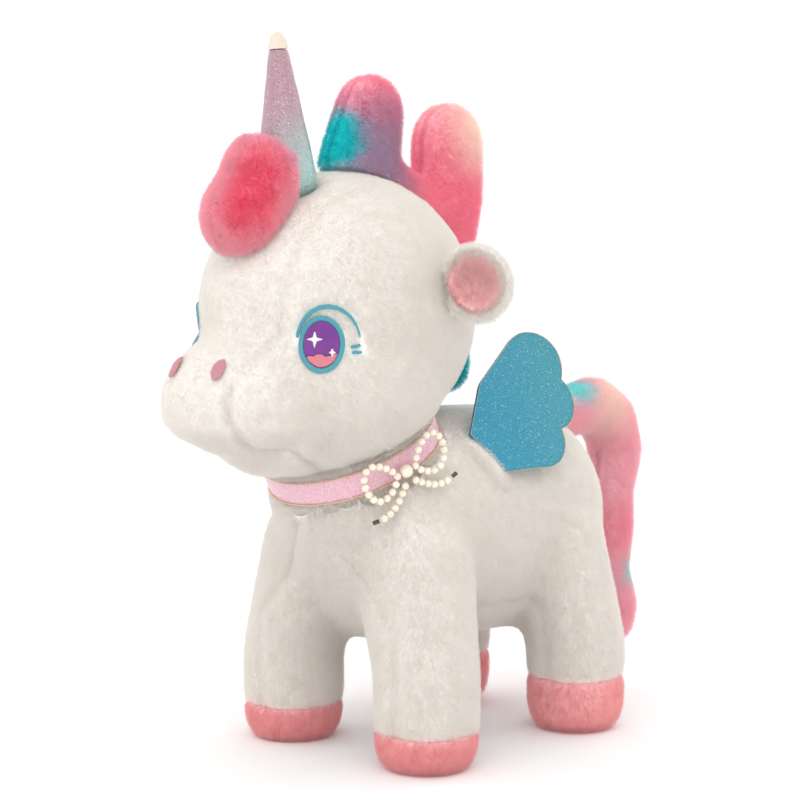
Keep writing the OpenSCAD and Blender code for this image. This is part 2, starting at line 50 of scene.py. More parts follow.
LEG_X = sum(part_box("hoof_front_left")[k].x for k in (0, 1)) / 2
FRONT_HOOF_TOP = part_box("hoof_front_left")[1].z
HIND_HOOF_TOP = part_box("hoof_hind_left")[1].z
NECK_LOW, NECK_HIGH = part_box("neck_stuffing")
NECK_POS = (NECK_LOW + NECK_HIGH) / 2
NECK_TILT = math.radians(25.5)
NECK_UP = Vector((0, -math.sin(NECK_TILT), math.cos(NECK_TILT)))
NECK_RADIUS = (NECK_HIGH.x - NECK_LOW.x) / 2
COLLAR_HALF = 5.5 * MM
WING_ROOT = Vector((39.7, -7.33, 132.2)) * MM
SEAM_DIR = Vector((0.54, 0.78, -1)).normalized()
WING_OUT = SEAM_DIR.cross(Vector((-0.19, 0.77, 1))).normalized()
WING_UP = WING_OUT.cross(SEAM_DIR)
SEAM_APEX_Z = 109 * MM
SEAM_FOOT_Z = 60 * MM


# ---- Mesh tools ----

def new_object(name, mesh):
    piece = bpy.data.objects.new(name, mesh)
    bpy.context.scene.collection.objects.link(piece)
    return piece


def hand_over(piece, body, nodes):
    """Puts a finished stuffed piece on its body, in place of its CAD nodes."""
    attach(piece, body)
    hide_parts(*nodes)


def copy_of_nodes(name, nodes):
    """One new piece that holds copies of the CAD nodes' meshes."""
    bm = bmesh.new()
    for node in nodes:
        bm.from_mesh(NODES[node].data)
    mesh = bpy.data.meshes.new(name)
    bm.to_mesh(mesh)
    bm.free()
    return new_object(name, mesh)


def coordinates(mesh):
    flat = np.empty(len(mesh.vertices) * 3, np.float32)
    mesh.vertices.foreach_get("co", flat)
    return flat.reshape(-1, 3).astype(float)


def normals(mesh):
    flat = np.empty(len(mesh.vertices) * 3, np.float32)
    mesh.vertices.foreach_get("normal", flat)
    return flat.reshape(-1, 3).astype(float)


def on_left(points):
    """The same points, those of the right side mirrored to the left."""
    near = points.copy()
    near[:, 0] = np.abs(near[:, 0])
    return near


def set_coordinates(mesh, places):
    mesh.vertices.foreach_set("co", places.astype(np.float32).ravel())
    mesh.update()


def apply_modifiers(piece):
    bpy.context.view_layer.update()
    graph = bpy.context.evaluated_depsgraph_get()
    mesh = bpy.data.meshes.new_from_object(piece.evaluated_get(graph))
    piece.modifiers.clear()
    old = piece.data
    piece.data = mesh
    bpy.data.meshes.remove(old)
    mesh.name = piece.name


def modify(piece, kind, **values):
    modifier = piece.modifiers.new(kind.lower(), kind)
    for key, value in values.items():
        setattr(modifier, key, value)
    return modifier


def remesh(piece, voxel):
    modify(piece, "REMESH", mode="VOXEL", voxel_size=voxel, adaptivity=0)
    apply_modifiers(piece)
    keep_outer_skin(piece)


def keep_outer_skin(piece):
    """Keeps the largest closed surface and deletes what the remesh left inside it."""
    bm = bmesh.new()
    bm.from_mesh(piece.data)
    left = set(bm.verts)
    islands = []
    while left:
        stack = [left.pop()]
        island = list(stack)
        while stack:
            for edge in stack.pop().link_edges:
                for vert in edge.verts:
                    if vert in left:
                        left.remove(vert)
                        stack.append(vert)
                        island.append(vert)
        islands.append(island)
    islands.sort(key=len)
    for island in islands[:-1]:
        bmesh.ops.delete(bm, geom=island, context="VERTS")
    bm.to_mesh(piece.data)
    bm.free()


def wrap(piece):
    """Turns a piece into the convex skin round it, which closes its open end."""
    bm = bmesh.new()
    bm.from_mesh(piece.data)
    made = bmesh.ops.convex_hull(bm, input=bm.verts)
    inside = [g for g in made["geom_interior"] if isinstance(g, bmesh.types.BMVert)]
    bmesh.ops.delete(bm, geom=inside, context="VERTS")
    bm.to_mesh(piece.data)
    bm.free()


def smooth(piece, rounds):
    modify(piece, "SMOOTH", factor=0.5, iterations=rounds)
    apply_modifiers(piece)


def subdivide(piece, levels):
    modify(piece, "SUBSURF", levels=levels, render_levels=levels)
    apply_modifiers(piece)
    piece.data.polygons.foreach_set("use_smooth", [True] * len(piece.data.polygons))


def grow(piece, distance):
    mesh = piece.data
    set_coordinates(mesh, coordinates(mesh) + normals(mesh) * distance)


def displace(piece, scale, strength, depth=1):
    """Moves the surface by clouds of a size in metres."""
    texture = bpy.data.textures.new(piece.name + "_clouds", "CLOUDS")
    texture.noise_scale = scale
    texture.noise_depth = depth
    modify(piece, "DISPLACE", texture=texture, strength=strength, mid_level=0.5, texture_coords="LOCAL")
    apply_modifiers(piece)
    bpy.data.textures.remove(texture)


def stuff(piece, pressure, cap, held=None):
    """Blows the cloth skin up from inside. held is 1 where a seam keeps it in; cap is the furthest move."""
    start = coordinates(piece.data)
    if held is not None:
        group = piece.vertex_groups.new(name="held")
        for index in np.nonzero(held > 0.5)[0]:
            group.add([int(index)], 1.0, "REPLACE")
    cloth = modify(piece, "CLOTH")
    settings = cloth.settings
    settings.quality = 5
    settings.mass = 0.2
    settings.tension_stiffness = 12
    settings.compression_stiffness = 12
    settings.shear_stiffness = 5
    settings.bending_stiffness = 0.6
    settings.use_pressure = True
    settings.uniform_pressure_force = pressure
    settings.effector_weights.gravity = 0
    if held is not None:
        settings.vertex_group_mass = "held"
    cloth.point_cache.frame_start = 1
    cloth.point_cache.frame_end = 20
    for step in range(1, 21):
        bpy.context.scene.frame_set(step)
    apply_modifiers(piece)
    bpy.context.scene.frame_set(1)
    move = coordinates(piece.data) - start
    far = np.linalg.norm(move, axis=1, keepdims=True)
    set_coordinates(piece.data, start + move * np.minimum(1, cap / np.maximum(far, 1e-9)))
    piece.vertex_groups.clear()


def distance_to_line(points, line):
    """Distance of each point to a run of straight stretches, in as many axes as the line has."""
    best = np.full(len(points), np.inf)
    line = np.array(line, float)
    for a, b in zip(line[:-1], line[1:]):
        along = b - a
        t = np.clip((points - a) @ along / (along @ along), 0, 1)
        best = np.minimum(best, np.linalg.norm(points - a - t[:, None] * along, axis=1))
    return best


def sink_seams(piece, distance, width, depth):
    """Pulls the surface in along a seam, to a depth, over a width."""
    mesh = piece.data
    pull = depth * np.exp(-((distance / width) ** 2))
    set_coordinates(mesh, coordinates(mesh) - normals(mesh) * pull[:, None])


# ---- Materials ----

def node(tree, kind, **values):
    made = tree.nodes.new(kind)
    for key, value in values.items():
        if key in made.inputs:
            made.inputs[key].default_value = value
        else:
            setattr(made, key, value)
    return made


def mix_colours(tree, mask, under, over):
    """Mixes two colours, each a socket or a fixed colour, by a mask. Returns the mixed socket."""
    mix = node(tree, "ShaderNodeMix", data_type="RGBA")
    tree.links.new(mask, mix.inputs["Factor"])
    for socket, value in ((mix.inputs[6], under), (mix.inputs[7], over)):
        if isinstance(value, bpy.types.NodeSocket):
            tree.links.new(value, socket)
        else:
            socket.default_value = (*value, 1)
    return mix.outputs[2]


def map_range(tree, value, low, high, to_low=0, to_high=1):
    spread = node(tree, "ShaderNodeMapRange")
    spread.inputs["From Min"].default_value = low
    spread.inputs["From Max"].default_value = high
    spread.inputs["To Min"].default_value = to_low
    spread.inputs["To Max"].default_value = to_high
    tree.links.new(value, spread.inputs["Value"])
    return spread.outputs[0]


def one_over(tree, size):
    """The scale of a texture whose cells have a size in metres."""
    divide = node(tree, "ShaderNodeMath", operation="DIVIDE")
    divide.inputs[0].default_value = 1
    tree.links.new(size, divide.inputs[1])
    return divide.outputs[0]


def new_material(name):
    material = bpy.data.materials.new(name)
    material.use_nodes = True
    tree = material.node_tree
    return material, tree, tree.nodes["Principled BSDF"]


def group_with(name, inputs, outputs):
    tree = bpy.data.node_groups.new(name, "ShaderNodeTree")
    for label, kind in inputs:
        tree.interface.new_socket(label, in_out="INPUT", socket_type=kind)
    for label, kind in outputs:
        tree.interface.new_socket(label, in_out="OUTPUT", socket_type=kind)
    return tree, tree.nodes.new("NodeGroupInput"), tree.nodes.new("NodeGroupOutput")


def pile_group():
    """Soft pile: tufts that part, each painted lighter at its top and painted in shade at its root, and slow
    drifts of tone.
    """
    tree, given, out = group_with(
        "soft_pile",
        [("Cloth", "NodeSocketColor"), ("Root Shade", "NodeSocketColor"), ("Tuft Size", "NodeSocketFloat")],
        [("Color", "NodeSocketColor"), ("Height", "NodeSocketFloat")],
    )
    link = tree.links.new
    place = node(tree, "ShaderNodeTexCoord")
    scale = one_over(tree, given.outputs["Tuft Size"])
    stretch = node(tree, "ShaderNodeMapping")
    stretch.inputs["Scale"].default_value = (1, 1, 0.55)
    link(place.outputs["Object"], stretch.inputs["Vector"])
    tufts = node(tree, "ShaderNodeTexNoise", Detail=3.0, Roughness=0.6, Distortion=0.6)
    link(stretch.outputs[0], tufts.inputs["Vector"])
    link(scale, tufts.inputs["Scale"])
    drifts = node(tree, "ShaderNodeTexNoise", Scale=28.0, Detail=2.0)
    link(place.outputs["Object"], drifts.inputs["Vector"])
    fibres = node(tree, "ShaderNodeTexNoise", Scale=1500.0, Detail=1.0)
    link(stretch.outputs[0], fibres.inputs["Vector"])
    # Painted light and shade times random tone: tuft tops painted lit, tuft roots in painted shade, scaled by
    # slow drifts of tone
    painted_light_and_drift = node(tree, "ShaderNodeMath", operation="MULTIPLY")
    link(map_range(tree, tufts.outputs["Fac"], 0.32, 0.6), painted_light_and_drift.inputs[0])
    link(map_range(tree, drifts.outputs["Fac"], 0.35, 0.65, to_low=0.75), painted_light_and_drift.inputs[1])
    mixed = mix_colours(tree, painted_light_and_drift.outputs[0], given.outputs["Root Shade"], given.outputs["Cloth"])
    link(mixed, out.inputs["Color"])
    fine = node(tree, "ShaderNodeMath", operation="MULTIPLY_ADD")
    fine.inputs[1].default_value = 0.3
    link(fibres.outputs["Fac"], fine.inputs[0])
    link(tufts.outputs["Fac"], fine.inputs[2])
    link(fine.outputs[0], out.inputs["Height"])
    return tree


PILE = pile_group()


def plush(name, cloth, shade, tuft=3 * MM, dye=None, bump=0.35, sheen=0.25):
    """Plush cloth: the pile group, dyed by a further chain of nodes if it has more than one colour."""
    material, tree, shader = new_material(name)
    link = tree.links.new
    shader.inputs["Roughness"].default_value = 0.9
    shader.inputs["Specular IOR Level"].default_value = 0.15
    shader.inputs["Sheen Weight"].default_value = sheen
    shader.inputs["Sheen Roughness"].default_value = 0.5
    pile = node(tree, "ShaderNodeGroup")
    pile.node_tree = PILE
    pile.inputs["Cloth"].default_value = (*cloth, 1)
    pile.inputs["Root Shade"].default_value = (*shade, 1)
    pile.inputs["Tuft Size"].default_value = tuft
    relief = node(tree, "ShaderNodeBump", Strength=bump, Distance=1.2 * MM)
    link(pile.outputs["Height"], relief.inputs["Height"])
    link(relief.outputs[0], shader.inputs["Normal"])
    link(pile.outputs["Color"], shader.inputs["Base Color"])
    if dye:
        dye(tree, pile)
    return material


def fibre_of(material, name):
    """The pile's own fibres: the same dyes, with no bump, and a share of the light passes through them."""
    copy = material.copy()
    copy.name = name
    tree = copy.node_tree
    relief = next(n for n in tree.nodes if n.type == "BUMP")
    tree.nodes.remove(relief)
    pile = next(n for n in tree.nodes if n.type == "GROUP" and n.node_tree == PILE)
    through = node(tree, "ShaderNodeBsdfTranslucent")
    both = node(tree, "ShaderNodeMixShader")
    both.inputs[0].default_value = 0.45
    tree.links.new(pile.outputs["Color"], through.inputs["Color"])
    tree.links.new(tree.nodes["Principled BSDF"].outputs[0], both.inputs[1])
    tree.links.new(through.outputs[0], both.inputs[2])
    tree.links.new(both.outputs[0], tree.nodes["Material Output"].inputs["Surface"])
    return copy


FIBRE_RADIUS = 0.07 * MM
CLUMPING = 0.05
UNEVENNESS = 0.16
# A fibre grows to four times the speed it is given
GROWTH = 4


def add_pile(piece, fibre, length, tufts, fibres, comb=(0, 0, 0), seed=1, where=None):
    """Stands a pile on the cloth: tufts on a piece, fibres in a tuft. where is 0 on bare cloth."""
    if where is not None:
        group = piece.vertex_groups.new(name="pile")
        levels = np.round(np.clip(where, 0, 1) * 8) / 8
        for level in np.unique(levels):
            chosen = np.nonzero(levels == level)[0]
            group.add([int(i) for i in chosen], float(level), "REPLACE")
    piece.data.materials.append(fibre)
    modifier = piece.modifiers.new("pile", "PARTICLE_SYSTEM")
    system = modifier.particle_system
    system.seed = seed
    settings = system.settings
    settings.type = "HAIR"
    settings.count = tufts
    settings.hair_length = length
    settings.hair_step = 3
    settings.render_step = 2
    settings.display_step = 2
    settings.use_advanced_hair = True
    settings.object_align_factor = [x * length / GROWTH for x in comb]
    settings.factor_random = length / GROWTH * UNEVENNESS
    settings.material = len(piece.data.materials)
    settings.child_type = "INTERPOLATED"
    settings.rendered_child_count = fibres
    settings.child_percent = 1
    settings.child_length = 1.0
    settings.clump_factor = CLUMPING
    settings.clump_shape = 0.2
    settings.roughness_1 = length * 0.03
    settings.roughness_1_size = 0.003
    settings.roughness_endpoint = length * 0.06
    settings.radius_scale = 1.0
    settings.root_radius = FIBRE_RADIUS
    settings.tip_radius = FIBRE_RADIUS * 0.25
    if where is not None:
        system.vertex_group_density = "pile"
    return system


# ---- Camera, light and floor ----

def aim_camera():
    data = bpy.data.cameras.new("camera")
    data.lens = 85.95
    data.sensor_width = 36
    camera = bpy.data.objects.new("camera", data)
    bpy.context.scene.collection.objects.link(camera)
    camera.location = (0.5894, -0.6350, 0.216)
    camera.rotation_euler = (math.radians(90 - 4.2), 0, math.radians(43.9))
    bpy.context.scene.camera = camera


def area_light(name, place, aim, size, power, tint=(1, 1, 1)):
    data = bpy.data.lights.new(name, "AREA")
    data.shape = "DISK"
    data.size = size
    data.energy = power
    data.color = tint
    light = bpy.data.objects.new(name, data)
    bpy.context.scene.collection.objects.link(light)
    light.location = place
    light.rotation_euler = (Vector(aim) - Vector(place)).to_track_quat("-Z", "Y").to_euler()


def light_studio():
    world = bpy.data.worlds.new("studio")
    bpy.context.scene.world = world
    world.use_nodes = True
    sky = world.node_tree.nodes["Background"]
    sky.inputs["Color"].default_value = (1, 1, 1, 1)
    sky.inputs["Strength"].default_value = 1.08
    middle = (0, 0, 0.15)
    area_light("key", (0.9, -1.1, 1.3), middle, 1.4, 6)
    area_light("fill", (-1.4, -0.9, 0.8), middle, 1.6, 3)
    area_light("rim", (0.3, 1.5, 1.1), middle, 1.2, 3)
    bpy.context.scene.view_settings.view_transform = "Standard"


def lay_floor():
    bm = bmesh.new()
    bmesh.ops.create_circle(bm, cap_ends=True, segments=96, radius=6)
    mesh = bpy.data.meshes.new("floor")
    bm.to_mesh(mesh)
    bm.free()
    floor = new_object("floor", mesh)
    material, tree, shader = new_material("floor_paper")
    shader.inputs["Roughness"].default_value = 0.8
    grain = node(tree, "ShaderNodeTexNoise", Scale=900.0, Detail=2.0)
    place = node(tree, "ShaderNodeTexCoord")
    tree.links.new(place.outputs["Object"], grain.inputs["Vector"])
    tone = mix_colours(tree, grain.outputs["Fac"], (0.95, 0.95, 0.95), (0.98, 0.98, 0.98))
    tree.links.new(tone, shader.inputs["Base Color"])
    mesh.materials.append(material)


# ---- Colours ----

def colour(red, green, blue):
    """A colour as a screen shows it, from 0 to 255, made linear."""
    return tuple(((v / 255 + 0.055) / 1.055) ** 2.4 for v in (red, green, blue))


CREAM = colour(247, 244, 240)
# Painted shade: the cream pile's colour, darker at the roots of its tufts
CREAM_ROOT_SHADE = colour(243, 239, 234)
SALMON = colour(250, 203, 204)
# Painted shade: the salmon pile's colour, darker at the roots of its tufts
SALMON_ROOT_SHADE = colour(242, 176, 178)
EAR_PINK = colour(255, 226, 226)
CORAL = colour(255, 208, 206)
ROSE = colour(253, 172, 190)
# Painted shade: the rose pile's colour, darker at the roots of its tufts
ROSE_ROOT_SHADE = colour(251, 156, 176)
HOT_PINK = colour(254, 128, 160)
SOFT_PINK = colour(253, 200, 210)
BLUSH = colour(253, 186, 200)
PALE_PINK = colour(254, 212, 220)
PEACH = colour(254, 236, 226)
MAUVE = colour(198, 186, 208)
PLUM = colour(213, 165, 188)
LAVENDER = colour(224, 203, 228)
AQUA = colour(162, 235, 235)
TEAL = colour(20, 206, 212)


# ---- More materials ----

def dye_group():
    """A soft patch of dye round a place, its edge broken up as dye runs in pile."""
    tree, given, out = group_with(
        "dye_patch",
        [("Under", "NodeSocketColor"), ("Dye", "NodeSocketColor"), ("Centre", "NodeSocketVector"),
         ("Reach", "NodeSocketFloat"), ("Fade", "NodeSocketFloat")],
        [("Color", "NodeSocketColor")],
    )
    link = tree.links.new
    place = node(tree, "ShaderNodeTexCoord")
    blur = node(tree, "ShaderNodeTexNoise", Scale=160.0, Detail=2.0)
    link(place.outputs["Object"], blur.inputs["Vector"])
    gap = node(tree, "ShaderNodeVectorMath", operation="DISTANCE")
    link(place.outputs["Object"], gap.inputs[0])
    link(given.outputs["Centre"], gap.inputs[1])
    run = node(tree, "ShaderNodeMath", operation="MULTIPLY_ADD")
    run.inputs[1].default_value = 9 * MM
    link(blur.outputs["Fac"], run.inputs[0])
    link(gap.outputs["Value"], run.inputs[2])
    inner = node(tree, "ShaderNodeMath", operation="SUBTRACT")
    link(given.outputs["Reach"], inner.inputs[0])
    link(given.outputs["Fade"], inner.inputs[1])
    outer = node(tree, "ShaderNodeMath", operation="ADD")
    link(given.outputs["Reach"], outer.inputs[0])
    link(given.outputs["Fade"], outer.inputs[1])
    mask = node(tree, "ShaderNodeMapRange", interpolation_type="SMOOTHSTEP")
    mask.inputs["To Min"].default_value = 1
    mask.inputs["To Max"].default_value = 0
    link(run.outputs[0], mask.inputs["Value"])
    link(inner.outputs[0], mask.inputs["From Min"])
    link(outer.outputs[0], mask.inputs["From Max"])
    mixed = mix_colours(tree, mask.outputs[0], given.outputs["Under"], given.outputs["Dye"])
    link(mixed, out.inputs["Color"])
    return tree


DYE = dye_group()


def dyed(patches):
    """Dyes a plush material in patches, each (colour, (y, z) or (x, y, z) in millimetres, reach, fade)."""
    def dye(tree, pile):
        last = node(tree, "ShaderNodeRGB")
        last.outputs[0].default_value = pile.inputs["Cloth"].default_value
        wire = last.outputs[0]
        for tint, centre, reach, fade in patches:
            patch = node(tree, "ShaderNodeGroup")
            patch.node_tree = DYE
            patch.inputs["Dye"].default_value = (*tint, 1)
            patch.inputs["Centre"].default_value = Vector(centre) * MM
            patch.inputs["Reach"].default_value = (reach + 4.5) * MM
            patch.inputs["Fade"].default_value = fade * MM
            tree.links.new(wire, patch.inputs["Under"])
            wire = patch.outputs["Color"]
        tree.links.new(wire, pile.inputs["Cloth"])
        # Painted shade: a darker copy of the dyed colour, painted at the roots of the tufts
        painted_root_shade = node(tree, "ShaderNodeHueSaturation", Saturation=1.06, Value=0.95)
        tree.links.new(wire, painted_root_shade.inputs["Color"])
        tree.links.new(painted_root_shade.outputs[0], pile.inputs["Root Shade"])
    return dye


# Painted glint: the near-white colour a few glitter flecks are painted with
PAINTED_GLINT = (0.8, 0.9, 0.92)


def glitter_group():
    """Fine glitter on cloth: each fleck has its own tone, tilt and shine, and a few carry a painted white
    glint in their colour.
    """
    tree, given, out = group_with(
        "glitter",
        [("Cloth", "NodeSocketColor"), ("Tint", "NodeSocketColor"), ("Fleck Size", "NodeSocketFloat")],
        [("Color", "NodeSocketColor"), ("Roughness", "NodeSocketFloat"), ("Normal", "NodeSocketVector")],
    )
    link = tree.links.new
    place = node(tree, "ShaderNodeTexCoord")
    flecks = node(tree, "ShaderNodeTexVoronoi")
    link(place.outputs["Object"], flecks.inputs["Vector"])
    link(one_over(tree, given.outputs["Fleck Size"]), flecks.inputs["Scale"])
    parts = node(tree, "ShaderNodeSeparateColor")
    link(flecks.outputs["Color"], parts.inputs[0])
    tone = mix_colours(tree, parts.outputs["Red"], given.outputs["Cloth"], given.outputs["Tint"])
    # Painted glint: a few flecks get a white glint painted into their base colour
    painted_glint_mask = map_range(tree, parts.outputs["Green"], 0.975, 1.01)
    link(mix_colours(tree, painted_glint_mask, tone, PAINTED_GLINT), out.inputs["Color"])
    link(map_range(tree, parts.outputs["Blue"], 0, 1, 0.3, 0.6), out.inputs["Roughness"])
    facing = node(tree, "ShaderNodeNewGeometry")
    centred = node(tree, "ShaderNodeVectorMath", operation="SUBTRACT")
    centred.inputs[1].default_value = (0.5, 0.5, 0.5)
    link(flecks.outputs["Color"], centred.inputs[0])
    tilt = node(tree, "ShaderNodeVectorMath", operation="MULTIPLY_ADD")
    tilt.inputs[1].default_value = (0.55, 0.55, 0.55)
    link(centred.outputs[0], tilt.inputs[0])
    link(facing.outputs["Normal"], tilt.inputs[2])
    unit = node(tree, "ShaderNodeVectorMath", operation="NORMALIZE")
    link(tilt.outputs[0], unit.inputs[0])
    link(unit.outputs[0], out.inputs["Normal"])
    return tree


GLITTER = glitter_group()


def sweep_mask(tree, start, end):
    """From 0 to 1 between two places in metres, for a tone that drifts across a piece."""
    place = node(tree, "ShaderNodeTexCoord")
    along = Vector(end) - Vector(start)
    dot = node(tree, "ShaderNodeVectorMath", operation="DOT_PRODUCT")
    dot.inputs[1].default_value = along / along.length_squared
    tree.links.new(place.outputs["Object"], dot.inputs[0])
    mask = node(tree, "ShaderNodeMapRange", interpolation_type="SMOOTHSTEP")
    first = Vector(start).dot(along) / along.length_squared
    mask.inputs["From Min"].default_value = first
    mask.inputs["From Max"].default_value = first + 1
    tree.links.new(dot.outputs["Value"], mask.inputs["Value"])
    return mask.outputs[0]


def glitter_cloth(name, cloth, tint, fleck, drift=None, metallic=0.35, coat=0.3):
    """Glitter cloth. drift is (start, end, cloth, tint): the colours it turns to between two places."""
    material, tree, shader = new_material(name)
    shader.inputs["Metallic"].default_value = metallic
    shader.inputs["Coat Weight"].default_value = coat
    shader.inputs["Coat Roughness"].default_value = 0.25
    flecks = node(tree, "ShaderNodeGroup")
    flecks.node_tree = GLITTER
    flecks.inputs["Fleck Size"].default_value = fleck
    flecks.inputs["Cloth"].default_value = (*cloth, 1)
    flecks.inputs["Tint"].default_value = (*tint, 1)
    if drift:
        mask = sweep_mask(tree, drift[0], drift[1])
        for socket, near, distant in (("Cloth", cloth, drift[2]), ("Tint", tint, drift[3])):
            tree.links.new(mix_colours(tree, mask, near, distant), flecks.inputs[socket])
    tree.links.new(flecks.outputs["Color"], shader.inputs["Base Color"])
    tree.links.new(flecks.outputs["Roughness"], shader.inputs["Roughness"])
    tree.links.new(flecks.outputs["Normal"], shader.inputs["Normal"])
    return material


def fibre_group():
    """Spun thread, felt or woven cloth: fine hairs of two tones, and their height."""
    tree, given, out = group_with(
        "fine_fibre",
        [("Light", "NodeSocketColor"), ("Dark", "NodeSocketColor"), ("Pitch", "NodeSocketFloat"),
         ("Stretch", "NodeSocketVector")],
        [("Color", "NodeSocketColor"), ("Height", "NodeSocketFloat")],
    )
    link = tree.links.new
    place = node(tree, "ShaderNodeTexCoord")
    pull = node(tree, "ShaderNodeVectorMath", operation="MULTIPLY")
    link(place.outputs["Object"], pull.inputs[0])
    link(given.outputs["Stretch"], pull.inputs[1])
    hairs = node(tree, "ShaderNodeTexNoise", Detail=3.0, Roughness=0.7)
    link(pull.outputs[0], hairs.inputs["Vector"])
    link(one_over(tree, given.outputs["Pitch"]), hairs.inputs["Scale"])
    spread = map_range(tree, hairs.outputs["Fac"], 0.3, 0.7)
    link(mix_colours(tree, spread, given.outputs["Dark"], given.outputs["Light"]), out.inputs["Color"])
    link(hairs.outputs["Fac"], out.inputs["Height"])
    return tree


FIBRE = fibre_group()


def fibre_cloth(name, light, dark, pitch, stretch=(1, 1, 1), sheen=0.2, rough=0.7, metallic=0):
    """Cloth, thread or a worn finish of fine hairs in two tones; pitch is the size of a hair's cell."""
    material, tree, shader = new_material(name)
    shader.inputs["Roughness"].default_value = rough
    shader.inputs["Sheen Weight"].default_value = sheen
    shader.inputs["Metallic"].default_value = metallic
    hairs = node(tree, "ShaderNodeGroup")
    hairs.node_tree = FIBRE
    hairs.inputs["Light"].default_value = (*light, 1)
    hairs.inputs["Dark"].default_value = (*dark, 1)
    hairs.inputs["Pitch"].default_value = pitch
    hairs.inputs["Stretch"].default_value = stretch
    bump = node(tree, "ShaderNodeBump", Strength=0.5, Distance=0.3 * MM)
    tree.links.new(hairs.outputs["Height"], bump.inputs["Height"])
    tree.links.new(bump.outputs[0], shader.inputs["Normal"])
    tree.links.new(hairs.outputs["Color"], shader.inputs["Base Color"])
    return material


def pearl_material():
    light = colour(252, 246, 232)
    dark = colour(232, 216, 190)
    material = fibre_cloth("pearl", light, dark, 2.4 * MM, rough=0.22, sheen=0)
    shader = material.node_tree.nodes["Principled BSDF"]
    shader.inputs["Coat Weight"].default_value = 0.8
    shader.inputs["Coat Roughness"].default_value = 0.08
    return material


# ---- Body ----

def leg_seams(points):
    """Distance, seen from the front, to the belly panel's seams, from the chest down each leg."""
    flat = np.hstack([np.abs(points[:, [0]]), points[:, [2]]])
    return distance_to_line(flat, [(0, SEAM_APEX_Z), (LEG_X, SEAM_FOOT_Z), (LEG_X, 0)])


def body_seams(points):
    """Distance to the nearest seam of the body: the belly panel's, and the middle seam above its apex."""
    middle = np.where(points[:, 2] > SEAM_APEX_Z, np.abs(points[:, 0]), np.inf)
    return np.minimum(leg_seams(points), middle)


def hoof_line(points):
    """Height of each point above the top edge of its own leg's hoof."""
    tops = np.where(points[:, 1] < 0, FRONT_HOOF_TOP, HIND_HOOF_TOP)
    return points[:, 2] - tops


def in_wing(points):
    """Millimetres along a wing's root seam, up the wing, and out from it, on either side."""
    off = (on_left(points) - np.array(WING_ROOT)) / MM
    return off @ np.array(SEAM_DIR), off @ np.array(WING_UP), off @ np.array(WING_OUT)


def hold_wings(body):
    """Swells the cloth along the foot of each wing, so that the root seam lies in the pile."""
    points = coordinates(body.data)
    across, up, out = in_wing(points)
    beside = np.clip((np.abs(across) - 9) / 7, 0, 1)
    swell = 3.4 * MM * np.exp(-((up + 3) / 4.5) ** 2) * (1 - beside) * (np.abs(out) < 14)
    move = swell[:, None] * np.array(WING_OUT)
    move[:, 0] *= np.where(points[:, 0] > 0, 1.0, -1.0)
    set_coordinates(body.data, points + move)


def meet_collar(body):
    """Draws the edge of the neck opening up to the ribbon, so that no groove is left between them."""
    points = coordinates(body.data)
    local = in_neck(points)
    radius = np.hypot(local[:, 0], local[:, 1])
    near_edge = np.exp(-((radius - NECK_RADIUS - 2 * MM) / (4 * MM)) ** 2)
    near_top = np.clip((local[:, 2] + 16 * MM) / (9 * MM), 0, 1)
    lift = 2.2 * MM * near_edge * near_top
    set_coordinates(body.data, points + lift[:, None] * np.array(NECK_UP))


def make_body():
    nodes = ("body_left_panel", "body_right_panel", "belly_panel", "body_stuffing")
    body = copy_of_nodes("body_plush", nodes)
    remesh(body, 4 * MM)
    smooth(body, 6)
    grow(body, -0.8 * MM)
    places = coordinates(body.data)
    stuff(body, 3, 2.5 * MM, body_seams(places) < 2.5 * MM)
    subdivide(body, 2)
    places = coordinates(body.data)
    sink_seams(body, body_seams(places), 2.6 * MM, 1.6 * MM)
    meet_collar(body)
    hold_wings(body)
    displace(body, 5 * MM, 0.25 * MM, 2)
    body.data.materials.append(CREAM_PLUSH)
    bare = np.clip(hoof_line(coordinates(body.data)) / MM, 0, 1)
    parted = np.clip(body_seams(coordinates(body.data)) / (1.6 * MM), 0.4, 1)
    where = np.minimum(bare, parted)
    add_pile(body, CREAM_FIBRE, 2.4 * MM, 130000, 7, comb=(0, 0.1, -0.55), seed=11, where=where)
    hand_over(body, "body", nodes)


def make_hoof(node_name, seed):
    hoof = copy_of_nodes(node_name + "_plush", [node_name])
    wrap(hoof)
    remesh(hoof, 2.4 * MM)
    smooth(hoof, 2)
    grow(hoof, -1.2 * MM)
    stuff(hoof, 3, 0.8 * MM)
    subdivide(hoof, 2)
    displace(hoof, 4 * MM, 0.25 * MM, 2)
    hoof.data.materials.append(SALMON_PLUSH)
    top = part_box(node_name)[1].z
    below_top = (top - coordinates(hoof.data)[:, 2]) / MM
    add_pile(hoof, SALMON_FIBRE, 2.2 * MM, 7000, 5, comb=(0, 0.1, -0.5), seed=seed, where=below_top - 0.4)
    hand_over(hoof, "body", [node_name])


# ---- Neck, collar and bow ----

AT_NECK = Matrix.Translation(NECK_POS) @ Matrix.Rotation(NECK_TILT, 4, "X")
COLLAR_INNER = NECK_RADIUS + 0.3 * MM
COLLAR_THICK = 0.7 * MM


def in_neck(points):
    """Points in the neck's own frame, with z up the neck."""
    back = np.array(AT_NECK.inverted())
    return points @ back[:3, :3].T + back[:3, 3]


